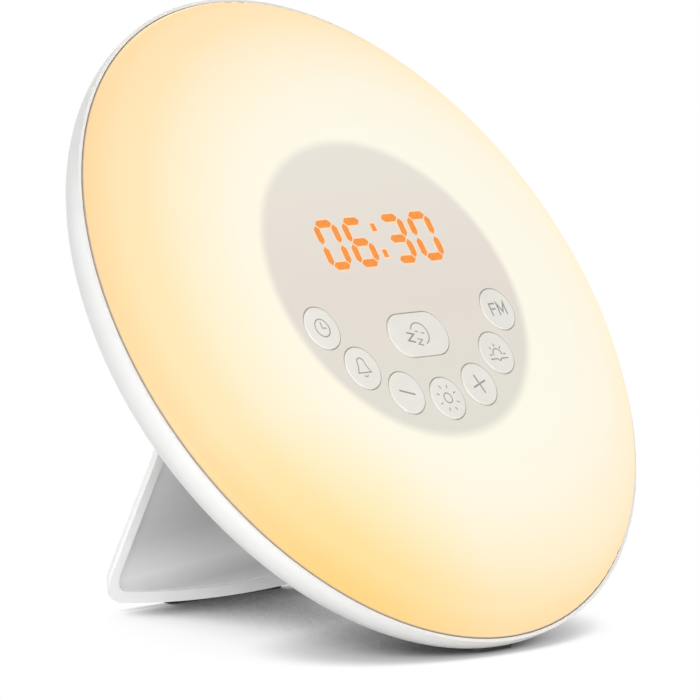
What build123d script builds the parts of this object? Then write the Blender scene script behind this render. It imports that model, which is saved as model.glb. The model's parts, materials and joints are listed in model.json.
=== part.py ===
from build123d import *
from math import asin, atan, cos, degrees, hypot, radians, sin, sqrt, tan
import os

# Round sunrise alarm clock: a lens-shaped lamp that leans back on a fold-out stand.
# Millimetres, +Z up, the face looks towards -Y. The origin is on the table, under the middle of the box.
# Heights called levels count from the seam between diffuser and case, positive towards the face.

# Stance
lean = 36                    # degrees that the face is tipped back from upright
stand_lean = 19.3            # degrees of the open stand plate from upright
overrun = 1                  # how far each cut runs past the face that it opens

# Front diffuser
diffuser_radius = 84.5
dome_height = 12.1
diffuser_wall = 2
lip_height = 1.2             # upright edge above the seam
lip_round = 1.9              # rounding of that edge
seat_depth = 1.5             # how deep the edge sits inside the case
flat_margin = 0.4            # flat middle beyond the light shield's bore

# Rear case
seam_gap = 0.3
case_lip = 0.8               # width of the case's lip round the diffuser
case_wall = 2.2
rim_roll_radius = 12.5
rim_roll_rise = -0.3         # middle of the rolled rim, in front of the seam
cone_angle = 53.3            # degrees that the cone's outward normal is turned to the back
back_edge_radius = 40
back_depth = 24

# Case screws and the pillars that they pull on
case_screw_count = 4
first_screw_angle = 45
pillar_radius = 3.2
pillar_inset = 3.8           # from the diffuser's inner wall to the pillar
pillar_bottom = -7
boss_radius = 3.6
boss_gap = 0.3               # between a case boss and its pillar
boss_floor = 2.7             # plastic under the screw head
head_room = 0.4              # round a sunk screw head

# Screws
screw_radius = 1.2
screw_fit = 0.05
screw_length = 8
short_screw_length = 5
head_radius = 2.4
head_height = 1.6
cross_length = 3
cross_width = 0.8
cross_depth = 0.8

# Push buttons
button_names = ("clock", "alarm", "minus", "light", "plus", "sunrise", "radio")
button_radius = 5.43
button_space = 0.75          # between two neighbouring flanges
button_arc_radius = 34.6
button_arc_rise = 6.07       # middle of the arc, above the axis
button_gap = 0.3
button_proud = 0.2
button_round = 0.15
button_travel = 0.6
flange_width = 0.9
flange_thickness = 1
flange_gap = 0.1
stem_radius = 2.2
snooze_straight = 9          # straight part of the long button
snooze_radius = 5.6
snooze_drop = 11.6           # below the axis

# Switches
switch_size = 6.2
switch_height = 3.5
plunger_radius = 1.7
plunger_fit = 0.1
plunger_proud = 1.5
plunger_depth = 1.4
plunger_room = 0.3           # left under a pressed plunger

# Display
digit_height = 13.1
digit_width = 8.2
digit_stroke = 2
segment_gap = 0.3
digit_pitch = 10             # inside a pair
colon_pitch = 13.7           # across the colon
colon_share = 0.27           # of the digit height, each dot from the middle
display_place = (1.8, 13.35)
display_border = 2.4
display_depth = 8.5
display_gap = 0.5
segment_depth = 1.2
segment_fit = 0.05

# Boards and light shield
board_thickness = 1.6
board_gap = 0.5
shield_clearance = 0.77
shield_wall = 1.5
shield_gap = 0.3
shield_foot = 1.3
post_height = 4
post_radius = 3
board_screw_shares = ((0.77, 0.31), (-0.77, 0.31), (0.19, -0.5), (-0.19, -0.5))
chip_shares = ((-0.55, 0.3), (0.5, 0.28), (0.5, -0.1), (-0.5, -0.1))
chip_sizes = (10, 6, 8, 5)
chip_heights = (1.6, 1.2, 2.4, 3)

# Chassis and ring light
chassis_thickness = 1.5
chassis_gap = 1.4            # to the case bosses
chassis_bore_radius = 12
case_post_share = 0.575      # of the light board's width, from its bore to the case posts
case_post_radius = 3.4
light_board_thickness = 1.2
light_board_margin = 1.5
led_size = 5
led_height = 1.4
led_ring_shares = (0.26, 0.76)
led_ring_counts = (16, 20)
led_first_shares = (0.5, 0)  # of a step, so that no LED meets a chassis screw

# Wire plugs and leads
plug_count = 4
plug_circle = 6.5
plug_size = 4.6
plug_height = 3.6
wire_radius = 0.6
wire_pitch = 2
wire_bend = 2
light_lead_level = -8
power_lead_level = -9.5
cell_lead_level = -10
speaker_lead_level = -12
light_lead_hole_radius = 2.6

# Speaker
speaker_drop = 30            # below the axis
speaker_radius = 18.5
speaker_flange = 2.5
speaker_flange_thickness = 1
speaker_seat = -19           # level of the seat ring
speaker_ring_width = 1
speaker_sheet = 0.8
cone_depth = 5
cone_sheet = 0.4
cone_space = 0.4
voice_coil_radius = 7
magnet_radius = 10
magnet_height = 4.5
speaker_screw_count = 3
speaker_screw_angle = 90     # of the first one
speaker_boss_radius = 2.6
speaker_screw_space = 0.6    # between flange edge and screw
grille_pitch = 3.2
grille_rings = 4
grille_ring_step = 6         # holes that each ring has more than the last
grille_hole_radius = 0.9

# Back-up cell and its cover, seen from behind
cell_place = (24, 20)
cell_radius = 10
cell_height = 3.2
cell_fit = 0.4
cover_radius = 13
cover_thickness = 1.1
cover_gap = 0.3
cover_seat_gap = 0.1
cover_boss_gap = 0.4
cover_boss_wall = 1.6
ledge_thickness = 1.5
lug_reach = 1.6
lug_height = 1.5
lug_width = 7
lug_gap = 0.2
lug_room = 1
bayonet_turn = 45            # degrees from locked to free
coin_slot_length = 14
coin_slot_width = 2.2
coin_slot_depth = 0.7
bay_wall = 1.5
contact_sheet = 0.3
contact_length = 12
contact_width = 5
rivet_radius = 0.8
tail_height = 0.5
strip_width = 4
strip_gap = 0.1

# Power socket, seen from behind
socket_place = (-28, 16)
socket_width = 8
socket_height = 3
socket_round = 0.8
socket_wall = 0.35
socket_length = 6.5
socket_recess = 0.6
socket_gap = 0.3
tongue_width = 5.2
tongue_height = 0.7
tongue_length = 5
socket_board_width = 14
socket_board_height = 18
socket_board_thickness = 1.2
socket_post_radius = 2.2
socket_post_offset = 6

# Stand and its hinge
hinge_drop = 3.3             # below the axis
hinge_standoff = 3.6         # behind the flat back
pin_radius = 1.25
pin_seat_fit = 0.02
pin_running_fit = 0.06
lug_plate_radius = 3.2
lug_plate_thickness = 4
hinge_side_gap = 0.3
barrel_radius = 3
barrel_length = 71.4
heel_reach = 3.5
heel_length = 30
stop_gap = 0.05
stand_width = 93             # at its lower edge
stand_top_width = 86
stand_thickness = 3.2
stand_flange = 0.9           # thickness of the plate's edge
stand_step = 2.3             # from that edge to the thicker body behind it
stand_rim = 3
stand_recess = 1
stand_corner_radius = 8
stand_top_radius = 1.5
stand_bottom_rise = 3.2
stand_clearance = 0.5
stand_edge_gap = 0.7         # middle of the plate's lower edge above the table

# Rubber feet
strip_length = 40
strip_thickness = 1.8
strip_slot_depth = 1.8
strip_fit = 0.05
foot_height = 0.6
foot_length = 14
foot_width = 5
foot_pocket = 0.8
foot_fit = 0.1


# Worked out from the sizes above

def face_sin(angle):
    return sin(radians(angle))


def face_cos(angle):
    return cos(radians(angle))


# Buttons lie on an arc, a flange and a gap apart, and they set the size of the grey panel
button_flange = button_radius + flange_width
button_step = 2 * degrees(asin((button_flange + button_space / 2) / button_arc_radius))
button_middle = (len(button_names) - 1) / 2
button_places = []
for index in range(len(button_names)):
    turn = (index - button_middle) * button_step
    drop = button_arc_radius * face_cos(turn)
    button_places.append((button_arc_radius * face_sin(turn), button_arc_rise - drop))
snooze_place = (0, -snooze_drop)
switch_places = button_places + [snooze_place]
panel_reach = max(hypot(*place) for place in button_places) + button_flange
shield_bore_radius = panel_reach + shield_clearance
shield_radius = shield_bore_radius + shield_wall
flat_radius = shield_bore_radius + flat_margin

# Dome: flat middle, then one arc that ends at the upright edge
dome_slope = 2 * atan((dome_height - lip_height) / (diffuser_radius - flat_radius))
dome_radius = (diffuser_radius - flat_radius) / sin(dome_slope)
lip_round_level = lip_height - lip_round * tan(radians(45) - dome_slope / 2)

# Bowl: rolled rim, cone, back edge arc and flat back, each tangent to the next
case_lip_bore = diffuser_radius + seam_gap
rim_roll_middle = case_lip_bore + case_lip - sqrt(rim_roll_radius**2 - rim_roll_rise**2)
back_edge_level = back_edge_radius - back_depth
cone_drop = rim_roll_rise - back_edge_level - (rim_roll_radius - back_edge_radius) * face_sin(cone_angle)
cone_run = cone_drop * tan(radians(cone_angle))
flat_back_radius = rim_roll_middle + (rim_roll_radius - back_edge_radius) * face_cos(cone_angle) - cone_run


def bowl_reach(angle):
    """Distance from the seam's middle to the bowl's tangent plane, for a direction turned back by angle."""
    if angle < cone_angle:
        return rim_roll_middle * face_cos(angle) - rim_roll_rise * face_sin(angle) + rim_roll_radius
    return flat_back_radius * face_cos(angle) - back_edge_level * face_sin(angle) + back_edge_radius


# Place of the leaning body over the table
front_reach = (diffuser_radius - lip_round) * face_sin(lean) + lip_round_level * face_cos(lean) + lip_round
back_reach = bowl_reach(90 - lean)
seam_height = bowl_reach(lean) + foot_height
seam_middle = Vector(0, (front_reach - back_reach) / 2, seam_height)
right = Vector(1, 0, 0)
face_up = Vector(0, face_sin(lean), face_cos(lean))
face_out = Vector(0, -face_cos(lean), face_sin(lean))
face = Plane(origin=seam_middle, x_dir=right, z_dir=face_out)
section = Plane(origin=seam_middle, x_dir=right, z_dir=-face_up)
face_axis = Axis(seam_middle, face_out)
back = Plane(origin=seam_middle - face_out * back_depth, x_dir=-right, z_dir=-face_out)

# Levels of the stack behind the panel
panel_back = dome_height - diffuser_wall
flange_bottom = panel_back - flange_gap - flange_thickness
display_front = panel_back - display_gap
board_front = display_front - display_depth
board_back = board_front - board_thickness
switch_top = board_front + switch_height
plunger_top = switch_top + plunger_proud
chassis_front = board_back - post_height
chassis_back = chassis_front - chassis_thickness
light_board_front = chassis_front + light_board_thickness
shield_top = panel_back - shield_gap
boss_top = pillar_bottom - boss_gap
head_seat = boss_top - boss_floor

# Radii and places of the inner pieces
pillar_circle = diffuser_radius - diffuser_wall - pillar_inset - pillar_radius
chassis_radius = pillar_circle - boss_radius - chassis_gap
control_board_radius = shield_bore_radius - board_gap
board_screw_places = [(x * control_board_radius, y * control_board_radius) for x, y in board_screw_shares]
light_board_bore = shield_radius + shield_foot + board_gap
light_board_radius = chassis_radius - light_board_margin
case_post_circle = light_board_bore + case_post_share * (light_board_radius - light_board_bore)
speaker_place = (0, -speaker_drop)
speaker_section = Plane(origin=face.from_local_coords((0, -speaker_drop, 0)), x_dir=right, z_dir=-face_up)
speaker_axis = Axis(speaker_section.origin, face_out)
speaker_flange_back = speaker_seat + cone_sheet
speaker_flange_front = speaker_flange_back + speaker_flange_thickness
speaker_screw_circle = speaker_radius + speaker_screw_space + screw_radius
speaker_hole_radius = speaker_radius - speaker_flange

# Depths of the cell bay, from the flat back inwards
ledge_start = cover_thickness + cover_seat_gap
ledge_end = ledge_start + ledge_thickness
lug_start = ledge_end + lug_gap
chamber_end = lug_start + lug_height + lug_gap
cell_start = chamber_end + cell_fit
bay_floor = cell_start + cell_height + contact_sheet
bay_end = bay_floor + bay_wall
bay_radius = cover_radius + cover_gap
cover_boss_radius = cover_radius - lug_reach - cover_boss_gap / 2
cell_pocket_radius = cell_radius + cell_fit
strip_place = cell_radius + strip_gap + contact_sheet / 2

# Levels of the power socket
socket_mouth = socket_recess - back_depth
socket_board_back = socket_mouth + socket_length
socket_board_front = socket_board_back + socket_board_thickness

# Hinge line and stand plate
hinge = back.from_local_coords((0, -hinge_drop, hinge_standoff))
hinge_side = Plane(origin=hinge, x_dir=face_up, z_dir=-right)
lug_plate_middle = barrel_length / 2 + hinge_side_gap + lug_plate_thickness / 2
stand_out = Vector(0, -face_cos(stand_lean), -face_sin(stand_lean))
stand_plane = Plane(origin=hinge, x_dir=right, z_dir=stand_out)
stand_length = (hinge.Z - stand_edge_gap) / face_cos(stand_lean)
stand_top = -lug_plate_radius - stand_clearance
strip_middle = Vector(0, hinge.Y + hinge.Z * tan(radians(stand_lean)), 0)
fold_turn = lean + stand_lean

# Front foot, under the lowest line of the rolled rim
foot_out = rim_roll_middle + rim_roll_radius * face_cos(lean)
foot_back = rim_roll_radius * face_sin(lean) - rim_roll_rise
foot_middle = Vector(0, seam_middle.Y - foot_out * face_sin(lean) + foot_back * face_cos(lean), 0)

os.makedirs("parts", exist_ok=True)


def save(piece, name):
    piece.label = name
    export_step(piece, f"parts/{name}.step")


# Outlines that several pieces share

def dome_outline(inset, bottom, mode=Mode.ADD):
    """Half section of the diffuser's outer form, moved inwards by inset and closed at level bottom."""
    radius = dome_radius - inset
    slope = degrees(asin((diffuser_radius - inset - flat_radius) / radius))
    with BuildLine() as outline:
        flat = Line((0, dome_height - inset), (flat_radius, dome_height - inset))
        dome = CenterArc((flat_radius, dome_height - dome_radius), radius, 90, -slope)
        Polyline(dome @ 1, (diffuser_radius - inset, bottom), (0, bottom), flat @ 0)
    make_face(outline.edges(), mode=mode)


def bowl_outline(inset, top):
    """Half section of the case's outer form, moved inwards by inset and closed at level top."""
    rim_radius = rim_roll_radius - inset
    start = degrees(asin((rim_roll_rise - top) / rim_radius))
    with BuildLine() as outline:
        rim = CenterArc((rim_roll_middle, rim_roll_rise), rim_radius, -start, start - cone_angle)
        edge_middle = (flat_back_radius, back_edge_level)
        edge = CenterArc(edge_middle, back_edge_radius - inset, -cone_angle, cone_angle - 90)
        Line(rim @ 1, edge @ 0)
        Polyline(edge @ 1, (0, inset - back_depth), (0, top), rim @ 0)
    make_face(outline.edges())


def pill(straight, radius):
    """A round, or a long round-ended shape where it has a straight part."""
    if straight:
        SlotCenterToCenter(straight, 2 * radius)
    else:
        Circle(radius)


def button_pills(extra):
    """All button outlines on the panel, each widened by extra."""
    with Locations(*button_places):
        pill(0, button_radius + extra)
    with Locations(snooze_place):
        pill(snooze_straight, snooze_radius + extra)


def stand_outline(inset):
    """Outline of the stand plate below its hinge, sides moved in by inset, lower edge slightly bowed."""
    low_half = stand_width / 2 - inset
    top_half = stand_top_width / 2 - inset
    low = stand_bottom_rise - stand_length
    with BuildLine() as outline:
        Polyline((low_half, low), (top_half, stand_top), (-top_half, stand_top), (-low_half, low))
        ThreePointArc((-low_half, low), (0, -stand_length), (low_half, low))
    corners = make_face(outline.edges()).vertices().group_by(Axis.Y)
    fillet(corners[0], stand_corner_radius)
    fillet(corners[-1], stand_top_radius)


def bayonet_strip(reach, width):
    """A strip across the cell's axis with ends on a circle: the cover's lugs, or the notches for them."""
    with BuildSketch(mode=Mode.PRIVATE) as strip:
        Rectangle(2 * reach, width)
        Circle(reach, mode=Mode.INTERSECT)
    return strip.sketch


# Front diffuser

with BuildPart() as dome_core:
    with BuildSketch(section):
        dome_outline(diffuser_wall / 2, pillar_bottom - overrun)
    revolve(axis=face_axis)

with BuildPart() as pillars:
    with BuildSketch(face.offset(pillar_bottom)):
        with PolarLocations(pillar_circle, case_screw_count, first_screw_angle):
            Circle(pillar_radius)
    extrude(amount=dome_height - pillar_bottom)
    add(dome_core.part, mode=Mode.INTERSECT)

with BuildPart() as front_diffuser:
    with BuildSketch(section) as shell:
        dome_outline(0, -seat_depth)
        fillet(shell.vertices().group_by(Axis.X)[-1].sort_by(Axis.Y)[-1], lip_round)
        dome_outline(diffuser_wall, -seat_depth - overrun, Mode.SUBTRACT)
    revolve(axis=face_axis)
    add(pillars.part)
    with BuildSketch(face.offset(pillar_bottom - overrun)):
        with PolarLocations(pillar_circle, case_screw_count, first_screw_angle):
            Circle(screw_radius + screw_fit)
    extrude(amount=head_seat + screw_length - pillar_bottom + 2 * overrun, mode=Mode.SUBTRACT)
    with BuildSketch(face.offset(panel_back - overrun)):
        button_pills(button_gap)
    extrude(amount=diffuser_wall + 2 * overrun, mode=Mode.SUBTRACT)
save(front_diffuser.part, "front_diffuser")

# Front foot pad, seated in a shallow pocket of the rim

with BuildPart() as pocket_core:
    with BuildSketch(section):
        bowl_outline(foot_pocket, 0)
    revolve(axis=face_axis)

with BuildPart() as case_foot:
    with BuildSketch(Plane(foot_middle)):
        SlotOverall(foot_length, foot_width)
    extrude(amount=foot_height + foot_width)
    add(pocket_core.part, mode=Mode.SUBTRACT)
save(case_foot.part, "case_foot")

with BuildPart() as foot_cut:
    with BuildSketch(Plane(foot_middle)):
        SlotOverall(foot_length + 2 * foot_fit, foot_width + 2 * foot_fit)
    extrude(amount=foot_height + foot_width)
    add(pocket_core.part, mode=Mode.SUBTRACT)

# Rear case: a bowl whose hollow leaves its posts, bosses, rings and the cell bay standing

with BuildPart() as hollow:
    with BuildSketch(section):
        bowl_outline(case_wall, -seat_depth)
    revolve(axis=face_axis)
    with BuildSketch(face.offset(chassis_back)):
        with PolarLocations(case_post_circle, case_screw_count, first_screw_angle):
            Circle(case_post_radius)
    extrude(amount=-back_depth, mode=Mode.SUBTRACT)
    with BuildSketch(face.offset(boss_top)):
        with PolarLocations(pillar_circle, case_screw_count, first_screw_angle):
            Circle(boss_radius)
    extrude(amount=-back_depth, mode=Mode.SUBTRACT)
    with BuildSketch(face.offset(speaker_seat)):
        with Locations(speaker_place):
            Circle(speaker_radius + speaker_ring_width)
            Circle(speaker_hole_radius, mode=Mode.SUBTRACT)
    extrude(amount=-back_depth, mode=Mode.SUBTRACT)
    with BuildSketch(face.offset(speaker_flange_front)):
        with Locations(speaker_place):
            with PolarLocations(speaker_screw_circle, speaker_screw_count, speaker_screw_angle):
                Circle(speaker_boss_radius)
            Circle(speaker_radius + screw_fit, mode=Mode.SUBTRACT)
    extrude(amount=-back_depth, mode=Mode.SUBTRACT)
    with BuildSketch(back.offset(-bay_end)):
        with Locations(cell_place):
            Circle(bay_radius + bay_wall)
    extrude(amount=back_depth, mode=Mode.SUBTRACT)
    with BuildSketch(back.offset(-back_depth - socket_board_back)):
        with Locations(socket_place):
            with Locations((0, socket_post_offset), (0, -socket_post_offset)):
                Circle(socket_post_radius)
    extrude(amount=back_depth, mode=Mode.SUBTRACT)

with BuildPart() as rear_case:
    with BuildSketch(section):
        bowl_outline(0, 0)
    revolve(axis=face_axis)
    with BuildSketch(face.offset(-seat_depth)):
        Circle(case_lip_bore)
    extrude(amount=seat_depth + overrun, mode=Mode.SUBTRACT)
    add(hollow.part, mode=Mode.SUBTRACT)
    add(foot_cut.part, mode=Mode.SUBTRACT)
    for side in (-1, 1):
        with BuildSketch(hinge_side.offset(side * lug_plate_middle)):
            Circle(lug_plate_radius)
            Rectangle(2 * lug_plate_radius, hinge_standoff + case_wall / 2, align=(Align.CENTER, Align.MAX))
        extrude(amount=lug_plate_thickness / 2, both=True)
    with BuildSketch(hinge_side):
        Circle(pin_radius + pin_seat_fit)
    extrude(amount=lug_plate_middle + lug_plate_thickness, both=True, mode=Mode.SUBTRACT)
    # screw holes: case screws from behind, then chassis, speaker and socket board screws
    with BuildSketch(face.offset(head_seat - overrun)):
        with PolarLocations(pillar_circle, case_screw_count, first_screw_angle):
            Circle(screw_radius + head_room)
    extrude(amount=boss_floor + 2 * overrun, mode=Mode.SUBTRACT)
    with BuildSketch(face.offset(head_seat)):
        with PolarLocations(pillar_circle, case_screw_count, first_screw_angle):
            Circle(head_radius + head_room)
    extrude(amount=-back_depth, mode=Mode.SUBTRACT)
    with BuildSketch(face.offset(chassis_back + overrun)):
        with PolarLocations(case_post_circle, case_screw_count, first_screw_angle):
            Circle(screw_radius + screw_fit)
    extrude(amount=-screw_length, mode=Mode.SUBTRACT)
    with BuildSketch(face.offset(speaker_flange_front)):
        with Locations(speaker_place):
            with PolarLocations(speaker_screw_circle, speaker_screw_count, speaker_screw_angle):
                Circle(screw_radius + screw_fit)
    extrude(amount=speaker_seat - speaker_flange_front - case_wall, mode=Mode.SUBTRACT)
    with BuildSketch(back.offset(-back_depth - socket_board_back)):
        with Locations(socket_place):
            with Locations((0, socket_post_offset), (0, -socket_post_offset)):
                Circle(screw_radius + screw_fit)
    extrude(amount=short_screw_length - socket_board_thickness, mode=Mode.SUBTRACT)
    # speaker grille
    with BuildSketch(face.offset(-back_depth - overrun)):
        with Locations(speaker_place):
            Circle(grille_hole_radius)
            for ring in range(1, grille_rings + 1):
                with PolarLocations(ring * grille_pitch, ring * grille_ring_step):
                    Circle(grille_hole_radius)
    extrude(amount=case_wall + 2 * overrun, mode=Mode.SUBTRACT)
    # cell bay: cover seat, ledge with two notches, lug chamber, cell pocket and contact openings
    with BuildSketch(back):
        with Locations(cell_place):
            Circle(bay_radius)
    extrude(amount=-ledge_start, mode=Mode.SUBTRACT)
    with BuildSketch(back):
        with Locations(cell_place):
            Circle(cover_boss_radius + cover_boss_gap)
            with Locations(Rotation(0, 0, bayonet_turn)):
                add(bayonet_strip(bay_radius, lug_width + 2 * lug_room))
    extrude(amount=-ledge_end, mode=Mode.SUBTRACT)
    with BuildSketch(back.offset(-ledge_end)):
        with Locations(cell_place):
            Circle(bay_radius)
    extrude(amount=ledge_end - chamber_end, mode=Mode.SUBTRACT)
    with BuildSketch(back.offset(-ledge_end)):
        with Locations(cell_place):
            Circle(cell_pocket_radius)
    extrude(amount=ledge_end - bay_floor, mode=Mode.SUBTRACT)
    with BuildSketch(back.offset(-chamber_end)):
        with Locations(cell_place):
            with Locations((0, strip_place)):
                Rectangle(strip_width + 2 * strip_gap, contact_sheet + 2 * strip_gap)
            Circle(rivet_radius + screw_fit)
    extrude(amount=chamber_end - bay_end - overrun, mode=Mode.SUBTRACT)
    # power socket opening
    with BuildSketch(back.offset(overrun)):
        with Locations(socket_place):
            RectangleRounded(socket_width + 2 * socket_gap, socket_height + 2 * socket_gap, socket_round)
    extrude(amount=-case_wall - 2 * overrun, mode=Mode.SUBTRACT)
save(rear_case.part, "rear_case")

# Chassis: white plate that carries the ring light, the shield and the control board

with BuildPart() as chassis:
    with BuildSketch(face.offset(chassis_back)):
        Circle(chassis_radius)
        Circle(chassis_bore_radius, mode=Mode.SUBTRACT)
        with Locations((0, light_board_bore + light_lead_hole_radius)):
            Circle(light_lead_hole_radius, mode=Mode.SUBTRACT)
    extrude(amount=chassis_thickness)
    with BuildSketch(face.offset(chassis_front)):
        with Locations(*board_screw_places):
            Circle(post_radius)
    extrude(amount=post_height)
    with BuildSketch(face.offset(board_back)):
        with Locations(*board_screw_places):
            Circle(screw_radius + screw_fit)
    extrude(amount=board_thickness - short_screw_length, mode=Mode.SUBTRACT)
    with BuildSketch(face.offset(chassis_front)):
        with PolarLocations(case_post_circle, case_screw_count, first_screw_angle):
            Circle(screw_radius + screw_fit)
    extrude(amount=-chassis_thickness, mode=Mode.SUBTRACT)
save(chassis.part, "chassis")

with BuildPart() as light_board:
    with BuildSketch(face.offset(chassis_front)):
        Circle(light_board_radius)
        Circle(light_board_bore, mode=Mode.SUBTRACT)
        with PolarLocations(case_post_circle, case_screw_count, first_screw_angle):
            Circle(screw_radius + screw_fit, mode=Mode.SUBTRACT)
    extrude(amount=light_board_thickness)
save(light_board.part, "light_board")

with BuildPart() as leds:
    with BuildSketch(face.offset(light_board_front)):
        for share, count, first in zip(led_ring_shares, led_ring_counts, led_first_shares):
            ring_radius = light_board_bore + share * (light_board_radius - light_board_bore)
            with PolarLocations(ring_radius, count, first * 360 / count):
                Rectangle(led_size, led_size)
    extrude(amount=led_height)
save(leds.part, "leds")

with BuildPart() as light_shield:
    with BuildSketch(face.offset(chassis_front)):
        Circle(shield_radius + shield_foot)
    extrude(amount=light_board_thickness)
    with BuildSketch(face.offset(chassis_front)):
        Circle(shield_radius)
    extrude(amount=shield_top - chassis_front)
    with BuildSketch(face.offset(chassis_front)):
        Circle(shield_bore_radius)
    extrude(amount=shield_top - chassis_front, mode=Mode.SUBTRACT)
save(light_shield.part, "light_shield")

# Control board with its chips, plugs and switches

with BuildPart() as control_board:
    with BuildSketch(face.offset(board_back)):
        Circle(control_board_radius)
        with Locations(*board_screw_places):
            Circle(screw_radius + screw_fit, mode=Mode.SUBTRACT)
    extrude(amount=board_thickness)
save(control_board.part, "control_board")

with BuildPart() as board_chips:
    for (across, along), size, height in zip(chip_shares, chip_sizes, chip_heights):
        with BuildSketch(face.offset(board_back)):
            with Locations((across * control_board_radius, along * control_board_radius)):
                Rectangle(size, size)
        extrude(amount=-height)
save(board_chips.part, "board_chips")

with BuildPart() as wire_plugs:
    with BuildSketch(face.offset(board_back)):
        with PolarLocations(plug_circle, plug_count):
            Rectangle(plug_size, plug_size)
    extrude(amount=-plug_height)
save(wire_plugs.part, "wire_plugs")

with BuildPart() as switch_bodies:
    with BuildSketch(face.offset(board_front)):
        with Locations(*switch_places):
            Rectangle(switch_size, switch_size)
    extrude(amount=switch_height)
    with BuildSketch(face.offset(switch_top)):
        with Locations(*switch_places):
            Circle(plunger_radius + plunger_fit)
    extrude(amount=-plunger_depth - button_travel - plunger_room, mode=Mode.SUBTRACT)
save(switch_bodies.part, "switch_bodies")


# Push buttons, each with the switch plunger that moves with it

def push_button(name, place, straight, radius):
    with BuildPart() as cap:
        with BuildSketch(face.offset(flange_bottom)):
            with Locations(place):
                pill(straight, radius + flange_width)
        extrude(amount=flange_thickness)
        with BuildSketch(face.offset(flange_bottom)):
            with Locations(place):
                pill(straight, radius)
        extrude(amount=dome_height + button_proud - flange_bottom)
        fillet(cap.faces().sort_by(face_axis)[-1].edges(), button_round)
        with BuildSketch(face.offset(plunger_top)):
            with Locations(place):
                Circle(stem_radius)
        extrude(amount=flange_bottom - plunger_top)
    save(cap.part, f"{name}_button")
    with BuildPart() as plunger:
        with BuildSketch(face.offset(switch_top - plunger_depth)):
            with Locations(place):
                Circle(plunger_radius)
        extrude(amount=plunger_depth + plunger_proud)
    save(plunger.part, f"{name}_plunger")


for button_name, button_place in zip(button_names, button_places):
    push_button(button_name, button_place, 0, button_radius)
push_button("snooze", snooze_place, snooze_straight, snooze_radius)


# Display: a housing with a pocket for each light bar

pair_offset = (digit_pitch + colon_pitch) / 2
digit_middles = [side * pair_offset + inner * digit_pitch / 2 for side in (-1, 1) for inner in (-1, 1)]
bar_across = digit_width - digit_stroke
bar_along = (digit_height - digit_stroke) / 2


def bar(length, angle, extra):
    """One light bar with pointed ends, widened by extra."""
    tip = length / 2 - segment_gap + extra
    half = digit_stroke / 2 + extra
    flat = tip - half
    Polygon((-tip, 0), (-flat, half), (flat, half), (tip, 0), (flat, -half), (-flat, -half), rotation=angle)


def light_bars(extra):
    """All bars of the four digits and the two dots of the colon."""
    for middle in digit_middles:
        with Locations((middle, -bar_along), (middle, 0), (middle, bar_along)):
            bar(bar_across, 0, extra)
        for side in (middle - bar_across / 2, middle + bar_across / 2):
            with Locations((side, bar_along / 2), (side, -bar_along / 2)):
                bar(bar_along, 90, extra)
    with Locations((0, colon_share * digit_height), (0, -colon_share * digit_height)):
        Rectangle(digit_stroke + 2 * extra, digit_stroke + 2 * extra)


digits_width = 2 * pair_offset + digit_pitch + digit_width
with BuildPart() as display_housing:
    with BuildSketch(face.offset(board_front)):
        with Locations(display_place):
            Rectangle(digits_width + 2 * display_border, digit_height + 2 * display_border)
    extrude(amount=display_depth)
    with BuildSketch(face.offset(display_front)):
        with Locations(display_place):
            light_bars(segment_fit)
    extrude(amount=-segment_depth, mode=Mode.SUBTRACT)
save(display_housing.part, "display_housing")

with BuildPart() as display_bars:
    with BuildSketch(face.offset(display_front - segment_depth)):
        with Locations(display_place):
            light_bars(0)
    extrude(amount=segment_depth)
save(display_bars.part, "display_bars")

# Speaker on its seat ring behind the grille

with BuildPart() as speaker_frame:
    magnet_back = speaker_flange_back + cone_depth + cone_space
    with BuildSketch(speaker_section):
        with BuildLine():
            Polyline(
                (speaker_hole_radius, speaker_flange_back),
                (speaker_radius, speaker_flange_back),
                (speaker_radius, speaker_flange_front),
                (speaker_hole_radius + speaker_sheet, speaker_flange_front),
                (magnet_radius, magnet_back + speaker_sheet),
                (magnet_radius, magnet_back + magnet_height),
                (0, magnet_back + magnet_height),
                (0, magnet_back),
                (magnet_radius - speaker_sheet, magnet_back),
                (speaker_hole_radius, speaker_flange_front),
                close=True,
            )
        make_face()
    revolve(axis=speaker_axis)
save(speaker_frame.part, "speaker_frame")

with BuildPart() as speaker_cone:
    with BuildSketch(speaker_section):
        with BuildLine():
            Polyline(
                (0, speaker_seat + cone_depth),
                (voice_coil_radius, speaker_seat + cone_depth),
                (speaker_hole_radius - cone_space, speaker_seat),
                (speaker_radius, speaker_seat),
                (speaker_radius, speaker_flange_back),
                (speaker_hole_radius - cone_space, speaker_flange_back),
                (voice_coil_radius, speaker_flange_back + cone_depth),
                (0, speaker_flange_back + cone_depth),
                close=True,
            )
        make_face()
    revolve(axis=speaker_axis)
save(speaker_cone.part, "speaker_cone")

# Back-up cell, its contacts and the quarter-turn cover

with BuildPart() as backup_cell:
    with BuildSketch(back.offset(-cell_start)):
        with Locations(cell_place):
            Circle(cell_radius)
    extrude(amount=-cell_height)
save(backup_cell.part, "backup_cell")

with BuildPart() as cell_contacts:
    with BuildSketch(back.offset(-bay_floor)):
        with Locations(cell_place):
            Rectangle(contact_length, contact_width)
    extrude(amount=contact_sheet)
    with BuildSketch(back.offset(-bay_floor)):
        with Locations(cell_place):
            Circle(rivet_radius)
    extrude(amount=-bay_wall - tail_height)
    with BuildSketch(back.offset(-cell_start)):
        with Locations(cell_place):
            with Locations((0, strip_place)):
                Rectangle(strip_width, contact_sheet)
    extrude(amount=cell_start - bay_end - tail_height)
save(cell_contacts.part, "cell_contacts")

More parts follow.
